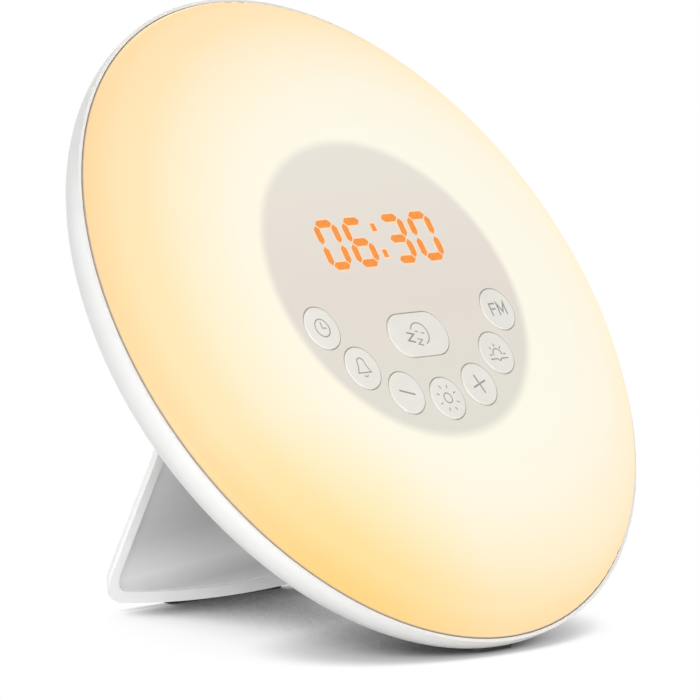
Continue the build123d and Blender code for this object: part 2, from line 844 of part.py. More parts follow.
with BuildPart() as battery_cover:
    with BuildSketch(back):
        with Locations(cell_place):
            Circle(cover_radius)
    extrude(amount=-cover_thickness)
    with BuildSketch(back.offset(-cover_thickness)):
        with Locations(cell_place):
            Circle(cover_boss_radius)
    extrude(amount=cover_thickness - chamber_end)
    with BuildSketch(back.offset(-lug_start)):
        with Locations(cell_place):
            add(bayonet_strip(cover_radius, lug_width))
    extrude(amount=-lug_height)
    with BuildSketch(back.offset(-chamber_end)):
        with Locations(cell_place):
            Circle(cover_boss_radius - cover_boss_wall)
    extrude(amount=chamber_end - cover_thickness - cover_boss_wall, mode=Mode.SUBTRACT)
    with BuildSketch(back):
        with Locations(cell_place):
            SlotOverall(coin_slot_length, coin_slot_width)
    extrude(amount=-coin_slot_depth, mode=Mode.SUBTRACT)
save(battery_cover.part, "battery_cover")

# Power socket on its own small board

with BuildPart() as power_socket:
    with BuildSketch(face.offset(socket_mouth)):
        with Locations((-socket_place[0], socket_place[1])):
            RectangleRounded(socket_width, socket_height, socket_round)
            inner_width = socket_width - 2 * socket_wall
            inner_height = socket_height - 2 * socket_wall
            RectangleRounded(inner_width, inner_height, socket_round - socket_wall, mode=Mode.SUBTRACT)
    extrude(amount=socket_length)
save(power_socket.part, "power_socket")

with BuildPart() as socket_tongue:
    with BuildSketch(face.offset(socket_board_back)):
        with Locations((-socket_place[0], socket_place[1])):
            Rectangle(tongue_width, tongue_height)
    extrude(amount=-tongue_length)
save(socket_tongue.part, "socket_tongue")

with BuildPart() as socket_board:
    with BuildSketch(face.offset(socket_board_back)):
        with Locations((-socket_place[0], socket_place[1])):
            Rectangle(socket_board_width, socket_board_height)
            with Locations((0, socket_post_offset), (0, -socket_post_offset)):
                Circle(screw_radius + screw_fit, mode=Mode.SUBTRACT)
    extrude(amount=socket_board_thickness)
save(socket_board.part, "socket_board")


# Leads: two wires each, straight out of a plug, across, and on to the far terminals

def lead(name, starts, level, ends):
    with BuildPart() as wires:
        for start, end in zip(starts, ends):
            corners = (
                (*start, board_back - plug_height),
                (*start, level),
                (end[0], end[1], level),
                end,
            )
            with BuildLine() as route:
                FilletPolyline(*[face.from_local_coords(corner) for corner in corners], radius=wire_bend)
            with BuildSketch(Plane(route.line ^ 0)):
                Circle(wire_radius)
            sweep(path=route.line)
    save(wires.part, name)


wire_sides = (-wire_pitch / 2, wire_pitch / 2)
cell_across = -cell_place[0]
socket_across = -socket_place[0]
speaker_edge = speaker_radius - speaker_flange / 2 - speaker_drop
light_lead_end = light_board_bore + light_lead_hole_radius
tail_level = bay_end + tail_height - back_depth
lead(
    "light_lead",
    [(side, plug_circle) for side in wire_sides],
    light_lead_level,
    [(side, light_lead_end, chassis_front) for side in wire_sides],
)
lead(
    "speaker_lead",
    [(side, -plug_circle) for side in wire_sides],
    speaker_lead_level,
    [(side, speaker_edge, speaker_flange_front) for side in wire_sides],
)
lead(
    "cell_lead",
    [(-plug_circle, side) for side in wire_sides],
    cell_lead_level,
    [(cell_across, cell_place[1] + rise, tail_level) for rise in (0, strip_place)],
)
lead(
    "power_lead",
    [(plug_circle, side) for side in wire_sides],
    power_lead_level,
    [(socket_across, socket_place[1] + side, socket_board_front) for side in wire_sides],
)


# Screws: a group for each joint, heads at a seat level and shanks running away from them

def screws(name, plane, places, length):
    with BuildPart() as group:
        with BuildSketch(plane):
            with Locations(*places):
                Circle(head_radius)
        extrude(amount=head_height)
        with BuildSketch(plane):
            with Locations(*places):
                Circle(screw_radius)
        extrude(amount=-length)
        with BuildSketch(plane.offset(head_height)):
            with Locations(*places):
                Rectangle(cross_length, cross_width)
                Rectangle(cross_width, cross_length)
        extrude(amount=-cross_depth, mode=Mode.SUBTRACT)
    save(group.part, name)


def ring_places(radius, count, first, middle=(0, 0)):
    turns = [first + index * 360 / count for index in range(count)]
    return [(middle[0] + radius * face_cos(turn), middle[1] + radius * face_sin(turn)) for turn in turns]


screws(
    "case_screws",
    back.offset(-back_depth - head_seat),
    ring_places(pillar_circle, case_screw_count, first_screw_angle),
    screw_length,
)
screws(
    "chassis_screws",
    face.offset(light_board_front),
    ring_places(case_post_circle, case_screw_count, first_screw_angle),
    screw_length,
)
screws("board_screws", face.offset(board_front), board_screw_places, short_screw_length)
screws(
    "speaker_screws",
    face.offset(speaker_flange_front),
    ring_places(speaker_screw_circle, speaker_screw_count, speaker_screw_angle, speaker_place),
    speaker_flange_front - speaker_seat + case_wall,
)
screws(
    "socket_screws",
    face.offset(socket_board_front),
    [(socket_across, socket_place[1] + side * socket_post_offset) for side in (-1, 1)],
    short_screw_length,
)

# Stand: dished plate with a thin edge, a hinge barrel and a heel that stops against the flat back

with BuildPart() as stand:
    with BuildSketch(stand_plane.offset(stand_thickness / 2)):
        stand_outline(0)
    extrude(amount=-stand_flange)
    with BuildSketch(stand_plane.offset(-stand_thickness / 2)):
        stand_outline(stand_step)
    extrude(amount=stand_thickness - stand_flange)
    with BuildSketch(stand_plane.offset(stand_thickness / 2)):
        stand_outline(0)
        offset(amount=-stand_rim, mode=Mode.REPLACE)
    extrude(amount=-stand_recess, mode=Mode.SUBTRACT)
    with BuildSketch(stand_plane):
        Rectangle(barrel_length, -stand_top + overrun, align=(Align.CENTER, Align.MAX))
    extrude(amount=stand_thickness / 2, both=True)
    with BuildSketch(hinge_side):
        Circle(barrel_radius)
    extrude(amount=barrel_length / 2, both=True)
    with BuildSketch(hinge_side):
        Rectangle(heel_reach, hinge_standoff - stop_gap, align=(Align.MIN, Align.MAX))
    extrude(amount=heel_length / 2, both=True)
    with BuildSketch(hinge_side):
        Circle(pin_radius + pin_running_fit)
    extrude(amount=barrel_length, both=True, mode=Mode.SUBTRACT)
    with BuildSketch(stand_plane):
        with Locations((0, strip_slot_depth + strip_fit - stand_length)):
            slot_height = strip_slot_depth + strip_fit + overrun
            Rectangle(strip_length + 2 * strip_fit, slot_height, align=(Align.CENTER, Align.MAX))
    extrude(amount=strip_thickness / 2 + strip_fit, both=True, mode=Mode.SUBTRACT)
save(stand.part, "stand")

with BuildPart() as stand_pin:
    with BuildSketch(hinge_side):
        Circle(pin_radius)
    extrude(amount=lug_plate_middle + lug_plate_thickness / 2, both=True)
save(stand_pin.part, "stand_pin")

with BuildPart() as stand_foot:
    with BuildSketch(stand_plane):
        with Locations((0, strip_slot_depth - stand_length)):
            Rectangle(strip_length, strip_slot_depth + stand_thickness, align=(Align.CENTER, Align.MAX))
    extrude(amount=strip_thickness / 2, both=True)
    split(bisect_by=Plane.XY, keep=Keep.TOP)
save(stand_foot.part, "stand_foot")

cell_axis = back.from_local_coords((*cell_place, 0))
socket_point = face.from_local_coords((socket_across, socket_place[1], socket_mouth))
print("stand folds by", round(fold_turn, 1), "degrees about", hinge)
print("battery cover turns by", bayonet_turn, "degrees about", cell_axis)
print("buttons travel", button_travel, "along", -face_out)
print("front foot at", foot_middle, "stand foot at", strip_middle, "power socket at", socket_point)
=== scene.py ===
# %% [markdown]
# # A round sunrise alarm clock
# The clock is a lens-shaped lamp that leans back on a fold-out stand. Its front is one opal dome, lit
# from behind by two rings of warm LEDs, with a grey round panel in the middle that shows the time and
# holds eight buttons. The solids come from CAD and are loaded as a fixed frame. This script never moves
# them: it gives them their finishes, adds what is printed or lit on them, and sets a small studio.

# %% Load the solids
import json
from math import cos, pi, radians, sin

import bmesh
import bpy
from mathutils import Matrix, Vector

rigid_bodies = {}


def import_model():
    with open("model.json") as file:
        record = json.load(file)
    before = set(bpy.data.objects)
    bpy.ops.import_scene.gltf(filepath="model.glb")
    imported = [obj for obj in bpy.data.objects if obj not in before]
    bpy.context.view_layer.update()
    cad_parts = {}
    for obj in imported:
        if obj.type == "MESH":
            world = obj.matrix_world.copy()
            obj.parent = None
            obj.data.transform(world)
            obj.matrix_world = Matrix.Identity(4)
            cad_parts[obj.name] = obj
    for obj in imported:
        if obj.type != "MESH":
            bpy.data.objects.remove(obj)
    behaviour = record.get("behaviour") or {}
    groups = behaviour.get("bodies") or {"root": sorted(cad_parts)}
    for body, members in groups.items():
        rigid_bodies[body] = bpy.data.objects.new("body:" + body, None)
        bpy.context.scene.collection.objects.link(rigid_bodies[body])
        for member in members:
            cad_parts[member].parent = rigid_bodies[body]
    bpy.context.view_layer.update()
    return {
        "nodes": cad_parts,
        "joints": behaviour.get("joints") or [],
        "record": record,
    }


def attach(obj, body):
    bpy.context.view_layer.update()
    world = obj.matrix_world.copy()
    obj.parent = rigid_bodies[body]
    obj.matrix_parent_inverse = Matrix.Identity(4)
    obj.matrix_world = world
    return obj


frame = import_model()
nodes = frame["nodes"]
scene_objects = bpy.context.scene.collection.objects
mm = 0.001

# %% [markdown]
# ## Find the face and the stand
# Everything printed or lit lies on the leaning face, so its directions are needed first. A push button
# travels straight into the face, so its joint's axis, turned round, points out of it. The middle of any
# piece on the face is then the middle of its reach to the right and upwards. Measuring this from the
# frame, rather than typing an angle, keeps the looks on the solids if the stance ever changes. The
# stand's plate runs from its hinge to its foot, which gives its directions in the same way.

# %% Directions of the face and of the stand
joints = {joint["name"]: joint for joint in frame["joints"]}
feet = {mount["name"]: Vector(mount["pos_m"]) for mount in frame["record"]["mounts"]}
right = Vector((1, 0, 0))
out = -Vector(joints["snooze_press"]["axis"]).normalized()
up = out.cross(right)
hinge = Vector(joints["stand_fold"]["pos_m"])
hinge_to_foot = feet["stand_foot"] - hinge
plate_down = hinge_to_foot.normalized()
plate_out = plate_down.cross(right)


def reach(node, way):
    """Lowest and highest reach of a node along a direction, in metres."""
    along = [vertex.co.dot(way) for vertex in nodes[node].data.vertices]
    return min(along), max(along)


def front_of(node):
    """Turns millimetres on a node's front (x right, y up, z outwards) into the shared frame."""
    across, along = (sum(reach(node, way)) / 2 for way in (right, up))
    middle = right * across + up * along + out * reach(node, out)[1]
    turn = Matrix((right, up, out)).transposed()
    return Matrix.LocRotScale(middle, turn, Vector((mm, mm, mm)))


face = front_of("front_diffuser")
seam_level = reach("rear_case", out)[1] / mm - face.translation.dot(out) / mm
print("middle of the panel", face.translation / mm, "and the seam", round(seam_level, 2), "mm from it")

# %% [markdown]
# ## Camera
# The picture is taken low and from the left of the face with a long lens, so that the round face shows
# as an oval with little perspective. A camera can be moved by eye, but then nothing says what to change
# when it is slightly off. So it is set by the angle round the clock, the angle over the table, a slight
# roll, and the width of the view at the clock, which gives the focal length at that distance.

# %% Camera
view_azimuth = radians(-50.1)
view_elevation = radians(8.05)
view_roll = radians(3.05)
view_width = 163.8 * mm           # seen across the picture, at the clock
view_distance = 1.8
view_aim = Vector((-2.7, -1.2, 64.3)) * mm

level = Vector((cos(view_azimuth), sin(view_azimuth), 0))
towards = Vector((sin(view_azimuth), -cos(view_azimuth), 0)) * cos(view_elevation)
towards.z = sin(view_elevation)
stance = Matrix((level, towards.cross(level), towards)).transposed().to_4x4()
camera = bpy.data.objects.new("camera", bpy.data.cameras.new("camera"))
camera.matrix_world = (
    Matrix.Translation(view_aim + towards * view_distance) @ stance @ Matrix.Rotation(view_roll, 4, "Z")
)
camera.data.lens = camera.data.sensor_width * view_distance / view_width
scene_objects.link(camera)
bpy.context.scene.camera = camera
print("lens", round(camera.data.lens), "mm at", view_distance, "m")

# %% [markdown]
# ## Tools for the finishes
# Colours are read off as ordinary screen values, which a renderer can't add up, so one function turns a
# hex code into linear light. Nodes could be wired one call at a time, but a function that adds a node
# with its settings and its incoming links keeps each finish short enough to read. Small helpers start a
# material, link sockets and turn a size into a texture scale. Each scale is one over a real size, so
# that a grain keeps its size on every piece.

# %% Colours and nodes
def linear(code):
    """Linear red, green, blue and alpha of an sRGB hex code."""
    values = [int(code[start:start + 2], 16) / 255 for start in (1, 3, 5)]
    return [v / 12.92 if v <= 0.04045 else ((v + 0.055) / 1.055) ** 2.4 for v in values] + [1]


def join(tree, node, sources):
    """Links outputs to a node's sockets, by the socket's name or number."""
    for socket, source in sources.items():
        tree.links.new(source, node.inputs[socket])


def add(tree, kind, settings, links=None):
    """Adds one shader node. A setting is a socket, a property, or the stops of a colour ramp."""
    node = tree.nodes.new("ShaderNode" + kind)
    for key, value in settings.items():
        if key == "stops":
            for index, (position, code) in enumerate(value):
                if index > 1:
                    node.color_ramp.elements.new(position)
                node.color_ramp.elements[index].position = position
                node.color_ramp.elements[index].color = linear(code)
        elif isinstance(key, int) or key in node.inputs:
            node.inputs[key].default_value = value
        else:
            setattr(node, key, value)
    join(tree, node, links or {})
    return node


def start_material(name, constants):
    """A new material, its tree, its surface shader with constant sockets set, and its places node."""
    material = bpy.data.materials.new(name)
    material.use_nodes = True
    tree = material.node_tree
    surface = tree.nodes["Principled BSDF"]
    for socket, value in constants.items():
        surface.inputs[socket].default_value = value
    return material, tree, surface, add(tree, "TexCoord", {})


def per_mm(size):
    """Texture scale whose pattern repeats about once in this many millimetres."""
    return 1 / (size * mm)


print("seven millimetres as a texture scale is", round(per_mm(7)))

# %% [markdown]
# Most pieces are moulded, plated or coated. One flat colour with one gloss would look like a drawing of
# them. So they share a kind of finish: two close colours that change over large patches, as real batches
# do, and a fine grain that varies gloss and relief together. One function makes it, and each material
# then gives its own colours and sizes.

# %% The usual finish
patch_shares = (0.3, 0.7)         # of a noise's range, between which one colour turns into the other
finishes = {}


def finish(name, colours, patch, grain, relief, rough, stretch=(1, 1, 1), **constants):
    """Two colours over patches, and a grain that sets gloss and relief; sizes in millimetres."""
    sockets = {key.replace("_", " "): value for key, value in constants.items()}
    material, tree, surface, places = start_material(name, sockets)
    place = {"Vector": places.outputs["Object"]}
    cloud = add(tree, "TexNoise", {"Scale": per_mm(patch), "Detail": 2}, place)
    stops = list(zip(patch_shares, colours))
    tint = add(tree, "ValToRGB", {"stops": stops}, {"Fac": cloud.outputs["Fac"]})
    drawn = {"Vector": add(tree, "Mapping", {"Scale": stretch}, place).outputs["Vector"]}
    fine = add(tree, "TexNoise", {"Scale": per_mm(grain), "Detail": 3}, drawn).outputs["Fac"]
    gloss = add(tree, "MapRange", {"To Min": rough[0], "To Max": rough[1]}, {"Value": fine})
    bump = add(tree, "Bump", {"Distance": relief * mm}, {"Height": fine})
    join(
        tree,
        surface,
        {
            "Base Color": tint.outputs["Color"],
            "Roughness": gloss.outputs["Result"],
            "Normal": bump.outputs["Normal"],
        },
    )
    return material


print("colours turn over between", *patch_shares, "of the noise")

# %% [markdown]
# ## White ABS: the case, the stand and the battery cover
# These are injection-moulded white ABS. A polished mould gives a smooth gloss with the slight waviness
# that makers call orange peel, a few millimetres from swell to swell and only a micron or so high. The
# eye reads it in the soft edge of each reflection. It is drawn four microns high, so that it shows.

# %% White ABS
white_patch = 60
finishes["white_case"] = finish(
    "moulded white ABS",
    ("#EFEFEE", "#ECECEB"),
    patch=white_patch,
    grain=3.5,
    relief=0.004,
    rough=(0.34, 0.42),
    IOR=1.53,
    Specular_IOR_Level=0.35,
)
print("made", finishes["white_case"].name)

# %% [markdown]
# The stand is the same plastic, but its dish has a brushed silver-grey lacquer. A second material on the
# dish's faces would be the short way, but the solids' meshes stay as they are, so the material finds the
# dish by itself. Two things together mark the dish: it lies behind the rim's plane and it faces the
# front. Both are read in the stand's own directions, and their product is the mask.

# %% Where the stand's dish is
dish_depth = 1                    # behind the rim
dish_edge_shares = (0.3, 0.7)     # of that depth, where the lacquer starts and where it is full
facing_range = (0.9, 0.95)        # cosines between which a face starts to count as frontal

low_half = [
    vertex.co - hinge
    for vertex in nodes["stand"].data.vertices
    if (vertex.co - hinge).dot(plate_down) > hinge_to_foot.length / 2
]
rim_plane = max(spot.dot(plate_out) for spot in low_half) / mm

stand_abs, tree, surface, places = start_material(
    "moulded white ABS with a lacquered dish", {"IOR": 1.53, "Specular IOR Level": 0.35}
)
turn = Matrix((right, -plate_down, plate_out)).transposed().to_euler()
on_plate = add(
    tree,
    "Mapping",
    {"vector_type": "TEXTURE", "Location": hinge, "Rotation": turn, "Scale": (mm, mm, mm)},
    {"Vector": places.outputs["Object"]},
)
plate = add(tree, "SeparateXYZ", {}, {"Vector": on_plate.outputs["Vector"]})
starts, full = (rim_plane - share * dish_depth for share in dish_edge_shares)
sunk = add(tree, "MapRange", {"From Min": starts, "From Max": full}, {"Value": plate.outputs["Z"]})
facing = add(
    tree, "VectorMath", {"operation": "DOT_PRODUCT", 1: plate_out}, {0: places.outputs["Normal"]}
)
frontal = add(
    tree,
    "MapRange",
    {"From Min": facing_range[0], "From Max": facing_range[1]},
    {"Value": facing.outputs["Value"]},
)
dish = add(
    tree, "Math", {"operation": "MULTIPLY"}, {0: sunk.outputs["Result"], 1: frontal.outputs["Result"]}
).outputs["Value"]
print("dish lies behind", round(rim_plane, 2), "mm in front of the hinge")

# %% [markdown]
# Light lies on the brushed lacquer in soft bands across the plate; the bands are painted reflections.
# A ramp along the plate, tilted a little, gives the bands, lightest near the hinge, painted light where
# the case shades the stand. A second, slow one across it lets them fade towards the left edge, so that
# the right side, in the case's shadow, is painted lighter.

# %% Bands of painted reflection on the lacquer
band_way = (-0.1, 1, 0)           # along the plate, with a slight tilt
band_reach = (-56, -12)           # millimetres along the plate, from the hinge
sheen_band_stops = (
    (0.0, "#F0F0F0"),
    (0.07, "#E2E2E2"),
    (0.14, "#D6D6D6"),
    (0.27, "#F2F2F2"),
    (0.36, "#EAEAEA"),
    (0.5, "#D8D8D8"),
    (0.6, "#D8D8D8"),
    (0.76, "#E4E4E4"),
    (1.0, "#F8F8F8"),
)
shadow_fill_reach = (-45, 5)             # millimetres across the plate
shadow_fill_share = 0.84                 # of the bands' brightness, left at the edge

along = add(
    tree, "VectorMath", {"operation": "DOT_PRODUCT", 1: band_way}, {0: on_plate.outputs["Vector"]}
)
band = add(
    tree,
    "MapRange",
    {"From Min": band_reach[0], "From Max": band_reach[1]},
    {"Value": along.outputs["Value"]},
)
bands = add(tree, "ValToRGB", {"stops": sheen_band_stops}, {"Fac": band.outputs["Result"]})
across = add(
    tree,
    "MapRange",
    {"From Min": shadow_fill_reach[0], "From Max": shadow_fill_reach[1], "To Min": shadow_fill_share},
    {"Value": plate.outputs["X"]},
)
# The painted reflection bands, faded to the left, so that the shaded right side is painted lighter.
lacquer = add(
    tree,
    "VectorMath",
    {"operation": "SCALE"},
    {0: bands.outputs["Color"], "Scale": across.outputs["Result"]},
)
print(len(sheen_band_stops), "stops over", band_reach[1] - band_reach[0], "mm of the plate")

# %% [markdown]
# The mask then chooses between the white plastic and the lacquer, for the colour and for the gloss, and
# gives the lacquer alone a fine grain, half a millimetre wide. The stand's white is drawn lighter than
# the case's: painted light that makes up for the shade the case casts on the stand.

# %% The stand's finish
# Lighter than the case's white: painted light for the shade the case casts on the stand.
stand_white_with_painted_light = ("#F7F7F6", "#F4F4F3")
stand_rough, lacquer_rough = 0.36, 0.5
lacquer_grain = 0.5
lacquer_relief = 0.006

place = {"Vector": places.outputs["Object"]}
cloud = add(tree, "TexNoise", {"Scale": per_mm(white_patch), "Detail": 2}, place)
white_stops = list(zip(patch_shares, stand_white_with_painted_light))
white = add(tree, "ValToRGB", {"stops": white_stops}, {"Fac": cloud.outputs["Fac"]})
tint = add(
    tree,
    "Mix",
    {"data_type": "RGBA"},
    {0: dish, 6: white.outputs["Color"], 7: lacquer.outputs["Vector"]},
)
fine = add(tree, "TexNoise", {"Scale": per_mm(lacquer_grain), "Detail": 3}, place)
gloss = add(tree, "MapRange", {"To Min": stand_rough, "To Max": lacquer_rough}, {"Value": dish})
bump = add(
    tree,
    "Bump",
    {"Distance": lacquer_relief * mm},
    {"Height": fine.outputs["Fac"], "Strength": dish},
)
join(
    tree,
    surface,
    {
        "Base Color": tint.outputs[2],
        "Roughness": gloss.outputs["Result"],
        "Normal": bump.outputs["Normal"],
    },
)
print("made", stand_abs.name, "with", len(tree.nodes), "nodes")

# %% [markdown]
# ## Opal acrylic: the lit dome
# The dome is milky acrylic, thin enough to glow and thick enough to hide the LEDs. Its colour is light
# that comes through it: almost white next to the panel, where both LED rings shine, and deeper amber
# towards the rim, most of all on the low left, where the light has further to go. Lamps inside and a
# scattering shell could make that light, but slowly and with a lot of noise, so it is drawn on the
# surface. Every place is first turned into millimetres on the face. A ramp on the distance from a point
# then gives each colour.

# %% Places on the dome
opal, tree, surface, places = start_material(
    "opal acrylic, lit from behind", {"IOR": 1.49, "Specular IOR Level": 0.2}
)
on_face = add(
    tree,
    "Mapping",
    {
        "vector_type": "TEXTURE",
        "Location": face.translation,
        "Rotation": face.to_euler(),
        "Scale": (mm, mm, mm),
    },
    {"Vector": places.outputs["Object"]},
)
parts = add(tree, "SeparateXYZ", {}, {"Vector": on_face.outputs["Vector"]})
flat = add(tree, "CombineXYZ", {}, {"X": parts.outputs["X"], "Y": parts.outputs["Y"]})
squeeze = 1.068                   # the panel's shade and the glow are a little wider than high
oval = add(
    tree, "VectorMath", {"operation": "MULTIPLY", 1: (1, squeeze, 0)}, {0: flat.outputs["Vector"]}
)
middles = {                       # millimetres from the middle of the face
    "glow": (oval, (12, 0, 0)),
    "panel": (oval, (0, 0.9, 0)),
    "pool": (flat, (-60, -80, 0)),
    "rim": (flat, (3, 1, 0)),
}
distances = {}
for name, (spots, middle) in middles.items():
    distances[name] = add(
        tree, "VectorMath", {"operation": "DISTANCE", 1: middle}, {0: spots.outputs["Vector"]}
    ).outputs["Value"]
print("distances in millimetres from", *distances)

# %% [markdown]
# Three ramps make the light: the glow, from nearly white to amber, the pool of deeper colour on the low
# left, and the rounded rim, a shade deeper. The last two are tints, so they multiply the first.

# %% Light in the dome
glow_colours = {                  # by millimetres from the middle of the glow
    44: "#FDF9E8",
    60: "#FEF6E0",
    68: "#FFF2D6",
    76: "#FFEDCA",
    84: "#FFE5B6",
    96: "#FFE0AE",
}
glow_end = max(glow_colours)
glow_stops = [(distance / glow_end, code) for distance, code in glow_colours.items()]
pool_reach = 55
pool_stops = ((0.0, "#FEF1B8"), (1.0, "#FFFFFF"))
rim_start, rim_end = 80, 87
rim_stops = ((0.0, "#FFFFFF"), (0.5, "#FFFBF4"), (1.0, "#FCF6EC"))

away = add(tree, "MapRange", {"From Max": glow_end}, {"Value": distances["glow"]})
warm = add(tree, "ValToRGB", {"stops": glow_stops}, {"Fac": away.outputs["Result"]})
from_pool = add(tree, "MapRange", {"From Max": pool_reach}, {"Value": distances["pool"]})
pool = add(tree, "ValToRGB", {"stops": pool_stops}, {"Fac": from_pool.outputs["Result"]})
to_rim = add(
    tree, "MapRange", {"From Min": rim_start, "From Max": rim_end}, {"Value": distances["rim"]}
)
rim = add(tree, "ValToRGB", {"stops": rim_stops}, {"Fac": to_rim.outputs["Result"]})
deep = add(
    tree, "VectorMath", {"operation": "MULTIPLY"}, {0: pool.outputs["Color"], 1: rim.outputs["Color"]}
)
lit_dome = add(
    tree, "VectorMath", {"operation": "MULTIPLY"}, {0: warm.outputs["Color"], 1: deep.outputs["Vector"]}
)
print("glow from", min(glow_colours), "to", glow_end, "mm")

# %% [markdown]
# Over the panel the shield tube keeps the light out and the plastic shows its own warm grey in that
# shade, painted a little lighter towards the top. Its edge is soft over a few millimetres, because light
# spreads sideways in the milky wall. The foot of the dome's wall, which sits in the case, is not lit;
# its colour is drawn darker still, a painted shade of the seam between the dome and the case.

# %% Panel and foot of the dome
panel_height = 40                 # from the middle to the top of the panel
# Painted shade of the panel, a little lighter towards the top.
panel_shade_stops = ((0.0, "#DEDDD2"), (0.5, "#E3DAD1"), (1.0, "#E7E2D7"))
panel_edge = (39.8, 43.4)         # radii where the soft edge starts and ends
foot_height = (0.2, 0.4)          # above the seam, where the unlit foot starts to end and has ended
# Painted shade of the seam at the dome's foot.
seam_shade_colour = "#BDB1A4"

rise = add(
    tree, "MapRange", {"From Min": -panel_height, "From Max": panel_height}, {"Value": parts.outputs["Y"]}
)
grey = add(tree, "ValToRGB", {"stops": panel_shade_stops}, {"Fac": rise.outputs["Result"]})
edge = add(
    tree,
    "MapRange",
    {"interpolation_type": "SMOOTHSTEP", "From Min": panel_edge[0], "From Max": panel_edge[1]},
    {"Value": distances["panel"]},
)
shown = add(
    tree,
    "Mix",
    {"data_type": "RGBA"},
    {0: edge.outputs["Result"], 6: grey.outputs["Color"], 7: lit_dome.outputs["Vector"]},
)
foot = add(
    tree,
    "MapRange",
    {"From Min": seam_level + foot_height[0], "From Max": seam_level + foot_height[1]},
    {"Value": parts.outputs["Z"]},
)
whole = add(
    tree,
    "Mix",
    {"data_type": "RGBA", 6: linear(seam_shade_colour)},
    {0: foot.outputs["Result"], 7: shown.outputs[2]},
)
print("soft edge", round(panel_edge[1] - panel_edge[0], 1), "mm wide")

# %% [markdown]
# In the narrow gaps round the buttons the light is swallowed; ambient occlusion finds them, and the
# colour is darkened there as a painted shade. Part of the colour is given to the surface and the rest to
# its own glow, so that the dome looks lit in dim and in bright surroundings. The skin is satin, with a
# grain about a millimetre wide.

# %% The dome's finish
glow_share = 0.78
gap_reach = 1.0                   # millimetres in which a button's side counts as near
gap_samples = 8
gap_open_shares = (0.2, 0.7)      # of the sky, from a closed gap to a free surface
gap_least_share = 0.45            # of the light, left in a closed gap
satin_grain = 1.2
satin_relief = 0.002
satin_rough = (0.45, 0.55)

near_gap = add(tree, "AmbientOcclusion", {"Distance": gap_reach * mm, "samples": gap_samples})
gap_shade = add(
    tree,
    "MapRange",
    {"From Min": gap_open_shares[0], "From Max": gap_open_shares[1], "To Min": gap_least_share},
    {"Value": near_gap.outputs["AO"]},
)
# Painted shade: the dome's colour darkened in the gaps round the buttons.
shone_with_gap_shade = add(
    tree,
    "VectorMath",
    {"operation": "SCALE"},
    {0: whole.outputs[2], "Scale": gap_shade.outputs["Result"]},
).outputs["Vector"]
own = add(tree, "VectorMath", {"operation": "SCALE", "Scale": 1 - glow_share}, {0: shone_with_gap_shade})
place = {"Vector": places.outputs["Object"]}
satin = add(tree, "TexNoise", {"Scale": per_mm(satin_grain), "Detail": 3}, place).outputs["Fac"]
gloss = add(tree, "MapRange", {"To Min": satin_rough[0], "To Max": satin_rough[1]}, {"Value": satin})
bump = add(tree, "Bump", {"Distance": satin_relief * mm}, {"Height": satin})
surface.inputs["Emission Strength"].default_value = glow_share
join(
    tree,
    surface,
    {
        "Base Color": own.outputs["Vector"],
        "Emission Color": shone_with_gap_shade,
        "Roughness": gloss.outputs["Result"],
        "Normal": bump.outputs["Normal"],
    },
)
finishes["opal_diffuser"] = opal
print("made", opal.name, "with", len(tree.nodes), "nodes")

# %% [markdown]
# ## Satin ABS: the buttons
# The caps are moulded in a mould that was spark-eroded, which leaves a fine pitted grain. It scatters
# the light, so that the caps look chalky beside the case and the printed signs are easy to read. The
# true grain is about 0.05 mm; it is drawn at 0.3 mm, the finest that still shows.

# %% Satin ABS
finishes["white_button"] = finish(
    "spark-eroded satin ABS",
    ("#EEEBE4", "#EAE7DF"),
    patch=8,
    grain=0.3,
    relief=0.004,
    rough=(0.5, 0.65),
    IOR=1.53,
)
print("made", finishes["white_button"].name)

# %% [markdown]
# ## Inner mouldings, rubber and small plastics
# The chassis and the light shield are white polystyrene, which throws the light forwards. The feet are
# silicone rubber, soft and dull with fine dust in it; they are drawn dark grey so that they also stand
# in for the contact shadows under the case and the stand, a painted shade. Switches and chips are black
# moulding compound, matt with a mineral grain, the display housing is grey ABS, and the plugs are
# natural nylon, which is slightly yellow and waxy. The wires have a PVC sheath with a soft gloss, and an
# LED package is a cup filled with yellow phosphor in silicone. Each differs by colour, by how fine its
# grain is and by how much of the light it returns as gloss.

# %% Inner mouldings, rubber and small plastics
small_plastics = {                # name, two colours, patch, grain and relief in mm, roughness, IOR
    "white_inner": ("moulded polystyrene", ("#F0F0EE", "#E8E8E5"), 40, 1.5, 0.004, (0.35, 0.45), 1.59),
    # Dark grey: the rubber's own colour, darkened further as painted contact shadow.
    "grey_rubber": ("silicone rubber", ("#333332", "#2B2B2A"), 6, 0.4, 0.012, (0.65, 0.85), 1.41),
    "black_plastic": (
        "black moulding compound", ("#26262A", "#1C1C1F"), 5, 0.3, 0.008, (0.5, 0.7), 1.55
    ),
    "grey_housing": ("grey textured ABS", ("#6A6A6C", "#5C5C5E"), 8, 0.4, 0.01, (0.5, 0.65), 1.53),
    "natural_plug": ("natural nylon", ("#ECE6D2", "#E2DBC4"), 4, 0.8, 0.004, (0.3, 0.42), 1.53),
    "wire_sheath": ("PVC sheath", ("#B0302B", "#9E2824"), 5, 0.6, 0.004, (0.3, 0.45), 1.54),
    "led_package": ("phosphor in silicone", ("#FBE7A2", "#F4D878"), 1.5, 0.3, 0.004, (0.3, 0.45), 1.41),
}
for slot, (*looks, ior) in small_plastics.items():
    finishes[slot] = finish(*looks, IOR=ior)
print("made", *small_plastics)

# %% [markdown]
# ## Circuit boards
# A circuit board is glass cloth in resin under a coloured solder mask. The cloth shows through as a
# faint weave, about half a millimetre from thread to thread. A picture could show it; two crossed wave
# textures, multiplied, need none and stay sharp. The control board has a green mask, and the LED board
# a white one, so that it reflects.

# %% Circuit boards
thread_pitch = 0.5
weave_relief = 0.01
board_rough = (0.25, 0.4)


